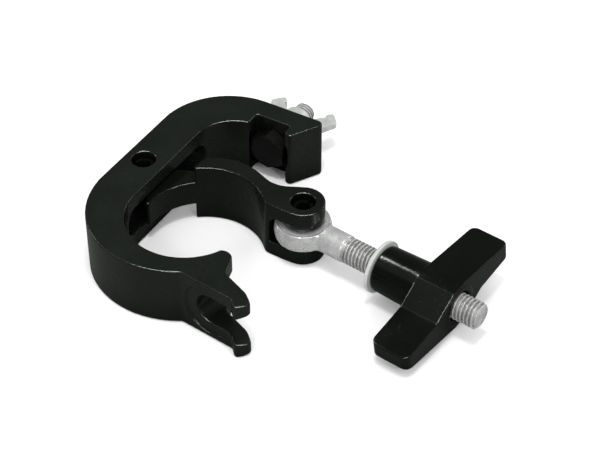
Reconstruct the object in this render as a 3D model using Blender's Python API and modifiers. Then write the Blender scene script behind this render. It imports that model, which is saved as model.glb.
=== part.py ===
"""Quick-release pipe clamp for a 48 to 51 mm tube.

The clamp lies on its side: the gripped tube's axis is parallel to Z, +Y is the
way the mounting screw points, and +X points out of the open side of the C. The
tube seat is modelled around the origin; at the end the whole clamp is centred
over the origin and stood on the ground plane. Lengths are in millimetres and
angles in degrees; the scene is in metres. The jaw stands a little open and the
swing bolt is out of its fork.
"""
import math

import bmesh
import bpy
from mathutils import Matrix, Vector

MM = 0.001

# ------------------------------------------------------- shared dimensions
HALF_WIDTH = 14.0            # half thickness of the C and of the jaw
EDGE = 0.5                   # broken edges of the castings
GAP = 0.3                    # running and assembly clearance

PIVOT = (-36.7, 21.6)        # jaw pivot in the back wall
EYE = (37.3, 32.6)           # swing bolt pivot in the jaw's clevis
PIN_R = 5.0
PIN_BORE_R = 5.28
THROUGH = 40.0               # length of the cutters that bore right through

BOLT_ANGLE = -7.0            # swing bolt's direction from +X
BOLT_Z = -0.5                # height of the swing bolt's axis

MOUNT_X = -2.5               # axis of the mounting screw
HOOK_Y = 84.3                # mounting face
RECESS_X = (-11.3, 6.0)      # channel that holds the screw's head
RECESS_Y = 74.2

# ------------------------------------------------------------------- scene
for old in list(bpy.data.objects):
    bpy.data.objects.remove(old, do_unlink=True)

parts = bpy.data.collections.new("pipe_clamp")
cutters = bpy.data.collections.new("pipe_clamp_cutters")
for collection in (parts, cutters):
    bpy.context.scene.collection.children.link(collection)


def settle():
    bpy.context.view_layer.update()


def material(name, colour, roughness, metallic):
    mat = bpy.data.materials.new(name)
    mat.use_nodes = True
    node = mat.node_tree.nodes["Principled BSDF"]
    node.inputs["Base Color"].default_value = (*colour, 1.0)
    node.inputs["Roughness"].default_value = roughness
    node.inputs["Metallic"].default_value = metallic
    mat.diffuse_color = (*colour, 1.0)
    return mat


def add_object(mesh, name, mat=None, where=parts, matrix=Matrix()):
    ob = bpy.data.objects.new(name, mesh)
    where.objects.link(ob)
    if mat:
        mesh.materials.append(mat)
    if where is cutters:
        ob.hide_render = True
        ob.display_type = "WIRE"
    ob.matrix_world = matrix
    return ob


# ------------------------------------------------------------------ frames
def place(x, y, z, rotation=Matrix()):
    return Matrix.Translation(Vector((x, y, z)) * MM) @ rotation


def frame(origin, x_axis, y_axis, z_axis):
    """Matrix that stands at origin with the given unit axes."""
    return place(*origin) @ Matrix((x_axis, y_axis, z_axis)).transposed().to_4x4()


def axis_frame(origin, direction):
    """Local Z runs along a direction in the XY plane, local Y is world Z."""
    z_axis = Vector(direction).normalized()
    y_axis = Vector((0, 0, 1))
    return frame(origin, y_axis.cross(z_axis), y_axis, z_axis)


def turn_about_z(angle):
    return Matrix.Rotation(math.radians(angle), 4, "Z")


ALONG_Y = Matrix.Rotation(math.radians(-90), 4, "X")   # local Z along +Y
AT_PIVOT = place(*PIVOT, 0)
AT_EYE = place(*EYE, 0)
bolt_turn = math.radians(BOLT_ANGLE)
# Local Z along the swing bolt, local X near world +Y, local Y is world Z.
BOLT_FRAME = axis_frame((*EYE, BOLT_Z), (math.cos(bolt_turn), math.sin(bolt_turn), 0))


def on_bolt(distance):
    return BOLT_FRAME @ place(0, 0, distance)


def on_mount(y):
    return place(MOUNT_X, y, 0, ALONG_Y)


# ---------------------------------------------------------------- outlines
LEAST_CHORD = 0.45           # facets of small rounded corners are no shorter
LEAST_SPACING = 0.25         # outline points closer than this are merged


def arc(centre, radius, start, end, step=6.0):
    """Points on an arc, both ends included."""
    count = max(2, int(math.ceil(abs(end - start) / step)))
    out = []
    for i in range(count + 1):
        angle = math.radians(start + (end - start) * i / count)
        out.append((centre[0] + radius * math.cos(angle), centre[1] + radius * math.sin(angle)))
    return out


def direction_of(x, y):
    return math.degrees(math.atan2(y, x))


def rounded(corners, step=10.0, closed=False):
    """A polyline whose corners (x, y, radius) are rounded with tangent arcs."""
    out = []
    count = len(corners)
    for i, (x, y, radius) in enumerate(corners):
        if radius <= 0 or (not closed and i in (0, count - 1)):
            out.append((x, y))
            continue
        corner = Vector((x, y))
        back = (Vector(corners[i - 1][:2]) - corner).normalized()
        ahead = (Vector(corners[(i + 1) % count][:2]) - corner).normalized()
        half = back.angle(ahead) / 2
        reach = radius / math.tan(half)
        centre = corner + (back + ahead).normalized() * (radius / math.sin(half))
        start = direction_of(*(corner + back * reach - centre))
        end = direction_of(*(corner + ahead * reach - centre))
        turn = (end - start + 180.0) % 360.0 - 180.0
        facet = max(step, math.degrees(LEAST_CHORD / radius))
        out += arc(centre, radius, start, start + turn, facet)
    return out


def tidy(points):
    out = []
    for point in points:
        if not out or math.dist(point, out[-1]) > LEAST_SPACING:
            out.append(point)
    if math.dist(out[0], out[-1]) <= LEAST_SPACING:
        out.pop()
    return out


# ------------------------------------------------------------------ solids
def plate(name, points, half, mat=None, where=parts, matrix=Matrix()):
    """A flat outline of the given half thickness, as a closed mesh."""
    points = tidy(points)
    curve = bpy.data.curves.new(name, "CURVE")
    curve.dimensions = "2D"
    curve.fill_mode = "BOTH"
    curve.extrude = half * MM
    curve.render_resolution_u = 0
    spline = curve.splines.new("POLY")
    spline.points.add(len(points) - 1)
    for spline_point, (x, y) in zip(spline.points, points):
        spline_point.co = (x * MM, y * MM, 0.0, 1.0)
    spline.use_cyclic_u = True
    outline = bpy.data.objects.new(name + "_outline", curve)
    cutters.objects.link(outline)
    settle()
    graph = bpy.context.evaluated_depsgraph_get()
    mesh = bpy.data.meshes.new_from_object(outline.evaluated_get(graph))
    bpy.data.objects.remove(outline, do_unlink=True)

    # Weld the caps to the sides, then merge each cap's triangles.
    bm = bmesh.new()
    bm.from_mesh(mesh)
    bmesh.ops.remove_doubles(bm, verts=bm.verts, dist=0.000001)
    bmesh.ops.recalc_face_normals(bm, faces=bm.faces)
    bm.normal_update()
    inside_caps = [
        edge for edge in bm.edges
        if len(edge.link_faces) == 2 and all(abs(f.normal.z) > 0.999 for f in edge.link_faces)
    ]
    bmesh.ops.dissolve_edges(bm, edges=inside_caps, use_verts=False)
    bm.to_mesh(mesh)
    bm.free()
    mesh.name = name
    return add_object(mesh, name, mat, where, matrix)


def finish_mesh(bm, name):
    mesh = bpy.data.meshes.new(name)
    bm.to_mesh(mesh)
    bm.free()
    return mesh


def turned(name, profile, steps, mat=None, where=parts, matrix=Matrix(), closed=False):
    """A profile of (radius, height) points turned about local Z.

    The points run down the outer side, top to bottom; a closed profile makes
    a ring.
    """
    bm = bmesh.new()
    verts = [bm.verts.new((radius * MM, 0.0, z * MM)) for radius, z in profile]
    for upper, lower in zip(verts, verts[1:]):
        bm.edges.new((upper, lower))
    if closed:
        bm.edges.new((verts[-1], verts[0]))
    ob = add_object(finish_mesh(bm, name), name, mat, where, matrix)
    screw = ob.modifiers.new("turn", "SCREW")
    screw.axis = "Z"
    screw.steps = steps
    screw.render_steps = steps
    screw.use_merge_vertices = True
    screw.merge_threshold = 0.000002
    screw.use_smooth_shade = True
    return ob


def chamfered_ring(name, inner, outer, bottom, top, chamfer, steps, mat, matrix):
    """A ring about local Z whose outer edges are chamfered."""
    profile = [
        (inner, top), (outer - chamfer, top), (outer, top - chamfer),
        (outer, bottom + chamfer), (outer - chamfer, bottom), (inner, bottom),
    ]
    return turned(name, profile, steps, mat, matrix=matrix, closed=True)


def cylinder(name, radius, depth, matrix, segments=32):
    bm = bmesh.new()
    bmesh.ops.create_cone(bm, cap_ends=True, segments=segments, radius1=radius * MM,
                          radius2=radius * MM, depth=depth * MM)
    return add_object(finish_mesh(bm, name), name, where=cutters, matrix=matrix)


def box(name, size, matrix):
    bm = bmesh.new()
    bmesh.ops.create_cube(bm, size=1.0)
    bmesh.ops.scale(bm, vec=Vector(size) * MM, verts=bm.verts)
    return add_object(finish_mesh(bm, name), name, where=cutters, matrix=matrix)


def boolean(ob, tool, how="DIFFERENCE"):
    mod = ob.modifiers.new(tool.name, "BOOLEAN")
    mod.operation = how
    mod.solver = "EXACT"
    mod.object = tool


def drill(ob, name, radius, depth, matrix, segments=32):
    boolean(ob, cylinder(name, radius, depth, matrix, segments))


def soften(ob, width, angle=30.0):
    """Chamfer the edges sharper than angle."""
    mod = ob.modifiers.new("edge", "BEVEL")
    mod.width = width * MM
    mod.segments = 1
    mod.limit_method = "ANGLE"
    mod.angle_limit = math.radians(angle)
    mod.use_clamp_overlap = True


# --------------------------------------------------------------- materials
black_cast = material(
    "black_coated_casting", colour=(0.018, 0.020, 0.018), roughness=0.32, metallic=0.0)
black_jaw = material(
    "black_coated_jaw", colour=(0.019, 0.021, 0.019), roughness=0.30, metallic=0.0)
black_handle = material(
    "black_handle", colour=(0.017, 0.018, 0.016), roughness=0.28, metallic=0.0)
black_pin = material(
    "blackened_pin", colour=(0.012, 0.012, 0.012), roughness=0.38, metallic=0.6)
black_eye_pin = material(
    "blackened_eye_pin", colour=(0.013, 0.013, 0.013), roughness=0.38, metallic=0.6)
zinc_bolt = material(
    "zinc_swing_bolt", colour=(0.60, 0.60, 0.58), roughness=0.24, metallic=1.0)
pale_washer = material(
    "pale_thrust_washer", colour=(0.72, 0.73, 0.70), roughness=0.35, metallic=0.8)
insert_steel = material(
    "insert_steel", colour=(0.42, 0.42, 0.41), roughness=0.35, metallic=1.0)
zinc_screw = material(
    "zinc_mount_screw", colour=(0.50, 0.51, 0.50), roughness=0.30, metallic=1.0)
zinc_flat = material(
    "zinc_flat_washer", colour=(0.58, 0.58, 0.57), roughness=0.30, metallic=1.0)
zinc_spring = material(
    "zinc_spring_washer", colour=(0.45, 0.45, 0.44), roughness=0.38, metallic=1.0)
zinc_wing = material(
    "zinc_wing_nut", colour=(0.62, 0.62, 0.60), roughness=0.28, metallic=1.0)

# ------------------------------------------------------------------ C body
SEAT_R = 26.2                # tube seat in the C
SEAT_END = -24.6             # angle at which the seat meets the nose
CLEAR_X = 8.0                # the mounting face is free of washers beyond this
HOOK_X = 19.4                # end of the mounting face
HOOK_FOOT = (9.6, 67.7)      # low corner of the hook's slanted end
UPPER_R = 33.0               # outer bend beside the mounting face
LOWER_C = (-4.7, 3.7)        # centre of the lower outer bend
LOWER_R = 40.9
BACK_X = LOWER_C[0] - LOWER_R            # outside of the back wall
INNER_R = 18.3               # upper inner bend, tangent to the seat's end
INNER_C = (INNER_R - SEAT_R, 48.9)

ARM_SLOT_HALF = 6.5          # slot in the back wall for the jaw's web
ARM_SLOT_Y = (-1.0, 47.2)    # centres of the slot's round ends
ARM_SLOT_X = -38.0           # middle of its cutter
SLOT_CUT_HALF = 17.0         # half depth of the two slot cutters

FORK_FACE = ((16.8, -30.8), (43.2, -34.0))
FORK_SLOT_R = 7.0
FORK_SLOT_AT = 14.4          # slot centre along the fork's outer face
FORK_SLOT_REACH = 40.0       # cutter length past the fork's open end
FORK_CUT_INSET = 11.0        # middle of the slot's cutter behind the face
SPOT_R = 12.5
SPOT_DEPTH = 1.0
SPOT_CUT = 10.0              # length of the spotface cutter
MOUNT_HOLE_R = 5.4


def body_outline():
    points = rounded([(*HOOK_FOOT, 0), (HOOK_X, HOOK_Y, 2.4), (BACK_X, HOOK_Y, UPPER_R),
                      (BACK_X, LOWER_C[1], 0)], 5.0)[1:]
    beyond_clear = len([point for point in points if point[0] > CLEAR_X])
    points.insert(beyond_clear, (CLEAR_X, HOOK_Y))
    fork_start = direction_of(FORK_FACE[0][0] - LOWER_C[0], FORK_FACE[0][1] - LOWER_C[1])
    points += arc(LOWER_C, LOWER_R, 180.0, 360.0 + fork_start)[1:]

    x, y = FORK_FACE[1]
    seat_end = math.radians(SEAT_END)
    points += rounded([
        (*points[-1], 0),
        (x, y, 1.6),                 # end of the seat for the nut
        (x + 3.7, y - 4.1, 1.7),     # lip that keeps the nut from slipping off
        (x + 8.9, y + 1.5, 2.3),
        (x + 3.2, y + 6.4, 7.0),
        (33.3, -21.9, 1.2),          # notch under the nose
        (29.5, -9.2, 4.8),           # nose
        (SEAT_R * math.cos(seat_end), SEAT_R * math.sin(seat_end), 0),
    ])[1:]
    points += arc((0, 0), SEAT_R, SEAT_END, -180.0)[1:]
    bend_end = math.degrees(math.acos((RECESS_X[0] - INNER_C[0]) / INNER_R))
    points += arc(INNER_C, INNER_R, 180.0, bend_end)
    points += rounded([
        (*points[-1], 0),
        (RECESS_X[0], RECESS_Y, 0.6),
        (RECESS_X[1], RECESS_Y, 0.6),
        (RECESS_X[1], 68.6, 2.0),
        (*HOOK_FOOT, 1.1),
        (HOOK_X, HOOK_Y, 0),
    ])[1:-1]
    return points


def cut_arm_slot(body):
    outline = arc((0, ARM_SLOT_Y[1]), ARM_SLOT_HALF, 0, 180, 15)
    outline += arc((0, ARM_SLOT_Y[0]), ARM_SLOT_HALF, 180, 360, 15)
    across_wall = frame((ARM_SLOT_X, 0, 0), (0, 0, -1), (0, 1, 0), (1, 0, 0))
    boolean(body, plate("cut_arm_slot", outline, SLOT_CUT_HALF, where=cutters,
                        matrix=across_wall))


def cut_fork(body):
    """Cut the bolt's slot through the fork and the spotface around it."""
    face_start, face_end = (Vector((*point, 0)) for point in FORK_FACE)
    along = (face_end - face_start).normalized()
    outward = Vector((along.y, -along.x, 0))
    centre = face_start + along * FORK_SLOT_AT
    outline = arc((0, 0), FORK_SLOT_R, 90, 270, 15)
    outline += [(FORK_SLOT_REACH, -FORK_SLOT_R), (FORK_SLOT_REACH, FORK_SLOT_R)]
    slot_frame = frame(centre - outward * FORK_CUT_INSET, along, (0, 0, 1), outward)
    boolean(body, plate("cut_fork_slot", outline, SLOT_CUT_HALF, where=cutters,
                        matrix=slot_frame))
    spot_centre = centre + outward * (SPOT_CUT / 2 - SPOT_DEPTH)
    drill(body, "cut_spotface", SPOT_R, SPOT_CUT, axis_frame(spot_centre, outward), segments=48)


def make_body():
    body = plate("clamp_body", body_outline(), HALF_WIDTH, black_cast)
    soften(body, EDGE)
    drill(body, "cut_pivot_hole", PIN_BORE_R, THROUGH, AT_PIVOT)
    cut_arm_slot(body)
    cut_fork(body)
    drill(body, "cut_mount_hole", MOUNT_HOLE_R, depth=30, matrix=on_mount(80))
    return body


# --------------------------------------------------------------------- jaw
JAW_C = (2.9, 7.15)          # centre of the jaw's seat in the open pose
JAW_R = 26.3
JAW_SEAT = (127.0, 44.0)     # start and end angles of the seat
JAW_BACK_C = (1.66, 15.5)    # outer bend over the seat
JAW_BACK_R = 25.9
WEB_HALF = 6.0
WEB_EDGE = 0.4
HUB_R = 8.7                  # web's round end at the pivot
CLEVIS_R = 9.5
CLEVIS_GAP_HALF = 6.9
CLEVIS_FLOOR_R = 14.6
CLEVIS_CUT_REACH = 30.0      # cutter length past the clevis's open end
BOSS_R = 9.4                 # low boss inside each clevis cheek
BOSS_HALF = 4.6              # distance of the boss faces from the middle
BOSS_ROOT = 1.5              # how far a boss is sunk into its cheek


def jaw_outline():
    points = arc(JAW_C, JAW_R, *JAW_SEAT)
    first = points[0]
    x, y = points[-1]
    points += rounded([(x, y, 0), (x + 2.2, y - 1.9, 3.0),
                       (EYE[0] - 6.0, EYE[1] - CLEVIS_R, 0)])[1:]
    points += arc(EYE, CLEVIS_R, -90, 118, 9)
    back = arc(JAW_BACK_C, JAW_BACK_R, 67.0, 118.0)
    points += rounded([(*points[-1], 0), (21.4, 35.4, 13.0), (*back[0], 0)])[1:]
    points += back[1:]
    points += rounded([(*back[-1], 0), (-14.4, 35.2, 2.0), (-14.9, 26.4, 0.9),
                       (*first, 0)])[1:-1]
    return list(reversed(points))


def web_outline():
    points = arc(JAW_C, JAW_R + 0.01, 183.4, 100.0)   # just clear of the jaw's seat
    first = points[0]
    points += rounded([
        (-3.0, 38.0, 0),
        (-12.6, 34.6, 0),
        (-19.0, 33.8, 6.0),
        (-27.0, 30.5, 8.0),
        (PIVOT[0], PIVOT[1] + HUB_R, 0),
    ])
    points += arc(PIVOT, HUB_R, 90, 300, 12)
    points += rounded([(*points[-1], 0), (-26.6, 9.6, 2.0), (-24.7, 4.6, 0.8),
                       (*first, 0)])[1:-1]
    return list(reversed(points))


def make_jaw():
    jaw = plate("jaw_arm", jaw_outline(), HALF_WIDTH, black_jaw)
    soften(jaw, EDGE)
    web = plate("join_web", web_outline(), WEB_HALF, black_jaw, where=cutters)
    soften(web, WEB_EDGE)
    boolean(jaw, web, "UNION")
    drill(jaw, "cut_jaw_pivot", PIN_BORE_R, THROUGH, AT_PIVOT)

    gap = arc((0, 0), CLEVIS_FLOOR_R, 90, 270, 9)
    gap += [(CLEVIS_CUT_REACH, -CLEVIS_FLOOR_R), (CLEVIS_CUT_REACH, CLEVIS_FLOOR_R)]
    boolean(jaw, plate("cut_clevis", gap, CLEVIS_GAP_HALF, where=cutters, matrix=AT_EYE))
    root_z = CLEVIS_GAP_HALF + BOSS_ROOT
    for name, side in (("join_boss_low", -1), ("join_boss_high", 1)):
        middle = place(*EYE, side * (BOSS_HALF + root_z) / 2)
        boss = cylinder(name, BOSS_R, root_z - BOSS_HALF, middle, segments=48)
        boolean(jaw, boss, "UNION")
    drill(jaw, "cut_eye_hole", PIN_BORE_R, THROUGH, AT_EYE)
    return jaw


# -------------------------------------------------------------------- pins
PIN_INNER_R = 3.0
PIN_SLOT = 1.6
PIN_HALF = 11.0


def spring_pin(name, centre, mat, slot_angle):
    """A hollow pin, slit along its length on the side at slot_angle."""
    pin = chamfered_ring(name, PIN_INNER_R, PIN_R, -PIN_HALF, PIN_HALF, chamfer=0.6,
                         steps=28, mat=mat, matrix=place(*centre, 0))
    slit_frame = place(*centre, 0, turn_about_z(slot_angle)) @ place(PIN_R, 0, 0)
    boolean(pin, box("cut_" + name, (PIN_R * 2, PIN_SLOT, PIN_HALF * 3), slit_frame))
    return pin


# -------------------------------------------------------------- swing bolt
# Heights along the bolt are measured from the eye's centre.
BALL_R = 12.5
BALL_FLAT = 3.8              # distance of the eye's flats from its middle
FLAT_CUT = 20.0              # length of the cutters that make the flats
NECK_R = 6.1
NECK_END = 23.7
NECK_FILLET = 3.0            # flare of the neck into the ball
THREAD_R = 5.9
THREAD_CHAMFER = 1.0
BOLT_LEN = 90.7


def make_eye_bolt():
    fillet_x = NECK_R + NECK_FILLET
    fillet_z = math.sqrt((BALL_R + NECK_FILLET) ** 2 - fillet_x ** 2)
    meet = direction_of(fillet_x, fillet_z)    # where fillet and ball touch
    profile = [
        (0.0, BOLT_LEN),
        (THREAD_R - THREAD_CHAMFER, BOLT_LEN),
        (THREAD_R, BOLT_LEN - THREAD_CHAMFER),
        (THREAD_R, NECK_END + 0.6),
        (NECK_R, NECK_END),
    ]
    profile += arc((fillet_x, fillet_z), NECK_FILLET, 180.0, 180.0 + meet, 15)
    profile += arc((0.0, 0.0), BALL_R, meet, -90.0, 12.5)[1:-1]
    profile.append((0.0, -BALL_R))
    bolt = turned("eye_bolt", profile, 32, zinc_bolt, matrix=BOLT_FRAME)
    for name, side in (("cut_eye_top", 1), ("cut_eye_bottom", -1)):
        middle = place(*EYE, BOLT_Z + side * (BALL_FLAT + FLAT_CUT / 2))
        drill(bolt, name, radius=12.2, depth=FLAT_CUT, matrix=middle, segments=48)
    drill(bolt, "cut_bolt_eye", PIN_BORE_R, THROUGH, place(*EYE, BOLT_Z))
    return bolt


WASHER_AT = 40.4
WASHER_TOP = WASHER_AT + 1.7


def make_thrust_washer():
    return chamfered_ring("thrust_washer", inner=6.5, outer=11.8, bottom=WASHER_AT,
                          top=WASHER_TOP, chamfer=0.25, steps=36, mat=pale_washer,
                          matrix=BOLT_FRAME)


# ------------------------------------------------------------------ handle
HUB_AT = WASHER_TOP + GAP
WING_AT = (62.4, 80.1)       # extent of the wings along the bolt
WING_HALF = 37.2
WING_CORNER = 3.0
WING_TIP = (-4.8, 2.8)       # lower and upper side of the +X wing's tip
WING_TILT = 9.8              # the wing on the +Y side is raised by this much
WING_EDGE = 0.9
HANDLE_BORE_R = 6.5
INSERT_R = 8.0
INSERT_LEN = 18.0
INSERT_INSET = 0.5           # insert's end inside the hub's end face
SEAT_CUT = 20.0              # length of the insert seat's cutter


def wing_outline():
    """Section across the bolt: two opposed wings; +Y here is world +Z."""
    half = [
        (3.2, 10.9, 0.0),                      # crown of the barrel
        (7.0, 10.0, 0.0),
        (WING_HALF, WING_TIP[1], 1.8),         # upper corner of the tip
        (WING_HALF, WING_TIP[0], 1.8),         # lower corner of the tip
        (21.0, -4.8, 0.0),
        (15.6, -5.0, 3.0),
        (12.8, -6.4, 0.0),                     # edge of the barrel's flat
        (3.2, -10.6, 0.0),
    ]
    other_half = [(-x, -y, radius) for x, y, radius in half]
    return list(reversed(rounded(other_half + half, 22.5, closed=True)))


def make_handle():
    near, far = WING_AT
    tilted = BOLT_FRAME @ turn_about_z(WING_TILT)
    handle = plate("handle", wing_outline(), (far - near) / 2, black_handle, matrix=tilted)
    handle.data.transform(place(0, 0, (near + far) / 2))
    soften(handle, WING_EDGE, 40.0)

    # Round the wings' corners as seen square to the wings.
    reach = WING_HALF * 1.0001
    corners = ((-reach, near), (reach, near), (reach, far), (-reach, far))
    plan = rounded([(*corner, WING_CORNER) for corner in corners], 22.5, closed=True)
    plan_frame = tilted @ frame((0, 0, 0), (1, 0, 0), (0, 0, 1), (0, -1, 0))
    plan_tool = plate("common_handle_plan", plan, 14.0, where=cutters, matrix=plan_frame)
    boolean(handle, plan_tool, "INTERSECT")

    hub_profile = [
        (0.0, far - 0.2), (9.4, far - 0.2), (10.5, far - 1.6), (10.9, near),
        (10.25, HUB_AT + 0.7), (9.6, HUB_AT), (0.0, HUB_AT),
    ]
    hub = turned("join_hub", hub_profile, 36, black_handle, where=cutters, matrix=BOLT_FRAME)
    boolean(handle, hub, "UNION")
    drill(handle, "cut_handle_bore", HANDLE_BORE_R, depth=60, matrix=on_bolt(62))
    seat_end = HUB_AT + INSERT_LEN + 0.8
    drill(handle, "cut_insert_seat", INSERT_R + 0.25, SEAT_CUT, on_bolt(seat_end - SEAT_CUT / 2))
    return handle


def make_insert():
    start = HUB_AT + INSERT_INSET
    return chamfered_ring("handle_thread_insert", inner=6.2, outer=INSERT_R, bottom=start,
                          top=start + INSERT_LEN, chamfer=0.5, steps=28, mat=insert_steel,
                          matrix=BOLT_FRAME)


# ------------------------------------------------------ mounting hardware
# The stack rises along +Y from the mounting face.
MOUNT_R = 4.9
MOUNT_END = 103.1
MOUNT_CHAMFER = 0.9
HEAD_AF = 16.0               # across the flats
HEAD_H = 6.4
HEAD_TOP = RECESS_Y - GAP
HEAD_SINK = 1.0              # overlap of the shank and the head
FLAT_Y = HOOK_Y + GAP
FLAT_TOP = FLAT_Y + 2.0
SPRING_Y = FLAT_TOP + GAP
SPRING_TOP = SPRING_Y + 2.2
WING_NUT_Y = SPRING_TOP + GAP


def make_mount_bolt():
    shank = [(0.0, MOUNT_END), (MOUNT_R - MOUNT_CHAMFER, MOUNT_END),
             (MOUNT_R, MOUNT_END - MOUNT_CHAMFER), (MOUNT_R, HEAD_TOP - HEAD_SINK),
             (0.0, HEAD_TOP - HEAD_SINK)]
    bolt = turned("mount_bolt", shank, 32, zinc_screw, matrix=on_mount(0))
    corner_r = HEAD_AF / 2 / math.cos(math.radians(30))
    hexagon = [(corner_r * math.cos(math.radians(angle)), corner_r * math.sin(math.radians(angle)))
               for angle in range(30, 390, 60)]
    head = plate("join_hex_head", hexagon, HEAD_H / 2, where=cutters,
                 matrix=on_mount(HEAD_TOP - HEAD_H / 2))
    bottom = HEAD_TOP - HEAD_H
    chamfer = [(0.0, HEAD_TOP + 0.1), (9.6, HEAD_TOP + 0.1), (9.6, bottom + 1.0),
               (7.9, bottom), (0.0, bottom)]
    chamfer_tool = turned("common_head_chamfer", chamfer, 36, where=cutters, matrix=on_mount(0))
    boolean(head, chamfer_tool, "INTERSECT")
    boolean(bolt, head, "UNION")
    return bolt


def make_mount_washer(name, outer, bottom, top, mat):
    return chamfered_ring(name, 5.3, outer, bottom, top, chamfer=0.2, steps=32, mat=mat,
                          matrix=on_mount(0))


def make_spring_washer():
    washer = make_mount_washer("mount_spring_washer", 9.05, SPRING_Y, SPRING_TOP, zinc_spring)
    split_frame = place(MOUNT_X, (SPRING_Y + SPRING_TOP) / 2, 7, turn_about_z(25))
    boolean(washer, box("cut_spring_split", (1.2, 12.0, 12.0), split_frame))
    return washer


def make_wing_nut():
    y = WING_NUT_Y
    barrel = [(0.0, y + 7.4), (6.1, y + 7.4), (6.6, y + 6.9), (7.9, y + 0.5), (7.5, y), (0.0, y)]
    nut = turned("mount_wing_nut", barrel, 32, zinc_wing, matrix=on_mount(0))
    wing = rounded([
        (3.0, y + 1.0, 0), (12.8, y + 3.2, 1.2), (17.6, y + 11.4, 1.2),
        (12.4, y + 17.2, 1.2), (8.0, y + 9.4, 2.5), (3.0, y + 7.0, 0),
    ], 20)
    mirrored = [(-px, py) for px, py in reversed(wing)]
    blade = plate("join_nut_wings", wing + mirrored, 1.6, where=cutters,
                  matrix=place(MOUNT_X, 0, 0))
    soften(blade, 0.4)
    boolean(nut, blade, "UNION")
    drill(nut, "cut_nut_bore", radius=5.2, depth=THROUGH, matrix=on_mount(y + 6))
    return nut


# ---------------------------------------------------------------- assembly
def smooth(ob):
    """Smooth-shade a modelled mesh; bare profiles have no faces yet."""
    if len(ob.data.polygons):
        ob.data.shade_smooth()
        ob.data.set_sharp_from_angle(angle=math.radians(30))


def pivot_empty(name, x, y):
    empty = bpy.data.objects.new(name, None)
    empty.empty_display_size = 0.01
    parts.objects.link(empty)
    empty.location = (x * MM, y * MM, 0.0)
    settle()
    return empty


def hang(ob, parent):
    """Parent an object and keep its place in the world."""
    settle()
    world = ob.matrix_world.copy()
    ob.parent = parent
    ob.matrix_parent_inverse = Matrix.Identity(4)
    ob.matrix_local = parent.matrix_world.inverted() @ world


def stand_on_ground(root):
    """Centre the clamp over the origin with its lowest point at Z = 0."""
    graph = bpy.context.evaluated_depsgraph_get()
    points = []
    for ob in parts.objects:
        if ob.type == "MESH":
            shape = ob.evaluated_get(graph)
            points += [shape.matrix_world @ vert.co for vert in shape.data.vertices]
    low = [min(values) for values in zip(*points)]
    high = [max(values) for values in zip(*points)]
    root.location = (-(low[0] + high[0]) / 2, -(low[1] + high[1]) / 2, -low[2])
    settle()


fixed_pieces = [
    make_body(),
    spring_pin("arm_pivot_pin", PIVOT, black_pin, slot_angle=200),
    make_mount_bolt(),
    make_mount_washer("mount_flat_washer", 10.0, FLAT_Y, FLAT_TOP, zinc_flat),
    make_spring_washer(),
    make_wing_nut(),
]
arm_pieces = [make_jaw(), spring_pin("eye_pivot_pin", EYE, black_eye_pin, slot_angle=75)]
bolt_pieces = [make_eye_bolt(), make_thrust_washer(), make_handle(), make_insert()]
for piece in parts.objects:
    smooth(piece)

clamp_root = pivot_empty("pipe_clamp_origin", 0, 0)
arm_axis = pivot_empty("arm_swing_axis", *PIVOT)
hang(arm_axis, clamp_root)
bolt_axis = pivot_empty("bolt_swing_axis", *EYE)
hang(bolt_axis, arm_axis)
for axis, pieces in (
    (clamp_root, fixed_pieces),
    (arm_axis, arm_pieces),
    (bolt_axis, bolt_pieces),
    (clamp_root, cutters.objects),
):
    for piece in pieces:
        hang(piece, axis)
settle()
stand_on_ground(clamp_root)
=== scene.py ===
# A hinged tube clamp: a C-shaped body, a jaw on a pivot pin, a swing bolt with a
# two-winged handle, and a mounting screw with a wing nut.
# The gripped tube's axis is Z and z = 0 is mid thickness. The jaw closes from the +X
# side, the swing bolt points along +X (a little towards -Y), the mounting screw along +Y.
# Shapes are drawn in millimetres from the tube's axis; SHIFT moves them onto the
# loaded pieces.
import math

import bmesh
import bpy
import numpy as np
from mathutils import Matrix, Vector


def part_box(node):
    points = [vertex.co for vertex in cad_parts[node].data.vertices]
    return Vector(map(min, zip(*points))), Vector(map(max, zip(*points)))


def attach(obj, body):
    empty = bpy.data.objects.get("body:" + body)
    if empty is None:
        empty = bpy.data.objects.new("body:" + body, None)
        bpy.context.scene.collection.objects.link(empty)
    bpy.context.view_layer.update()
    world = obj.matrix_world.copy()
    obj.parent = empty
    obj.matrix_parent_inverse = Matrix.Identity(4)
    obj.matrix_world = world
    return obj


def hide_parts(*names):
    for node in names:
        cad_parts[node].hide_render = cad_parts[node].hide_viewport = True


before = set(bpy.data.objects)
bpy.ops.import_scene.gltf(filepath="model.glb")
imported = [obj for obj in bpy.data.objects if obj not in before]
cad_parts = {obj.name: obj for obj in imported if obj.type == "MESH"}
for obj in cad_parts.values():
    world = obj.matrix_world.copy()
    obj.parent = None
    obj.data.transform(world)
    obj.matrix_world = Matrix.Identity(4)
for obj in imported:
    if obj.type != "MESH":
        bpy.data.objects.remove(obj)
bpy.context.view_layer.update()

# ---------------------------------------------------------------- dimensions
MM = 0.001
WIDTH = 28.0                                # of both castings, along Z

# body
SEAT_R = 26.2                               # tube seat
BACK_X = -45.6
HOOK_X, HOOK_Y = 19.4, 84.3
UPPER_R = 33.0
LOWER_C, LOWER_R = (-4.7, 3.7), 40.9
INNER_C, INNER_R = (-7.9, 48.9), 18.3
RECESS_X, RECESS_Y = (-11.3, 6.0), 74.2     # pocket of the mounting screw head
ARM_SLOT_HALF, ARM_SLOT_Y = 6.5, (-1.0, 47.2)
FORK_FACE = ((16.8, -30.8), (43.2, -34.0))  # ends of the flat face on the -Y side
FORK_SLOT_R, FORK_SLOT_AT = 7.0, 14.4       # slot end, and its place along the face
FORK_INSET = 11.0                           # cutter's mid plane, below the face
SPOT_R, SPOT_DEPTH = 12.5, 1.0              # round recess about the fork slot

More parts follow.
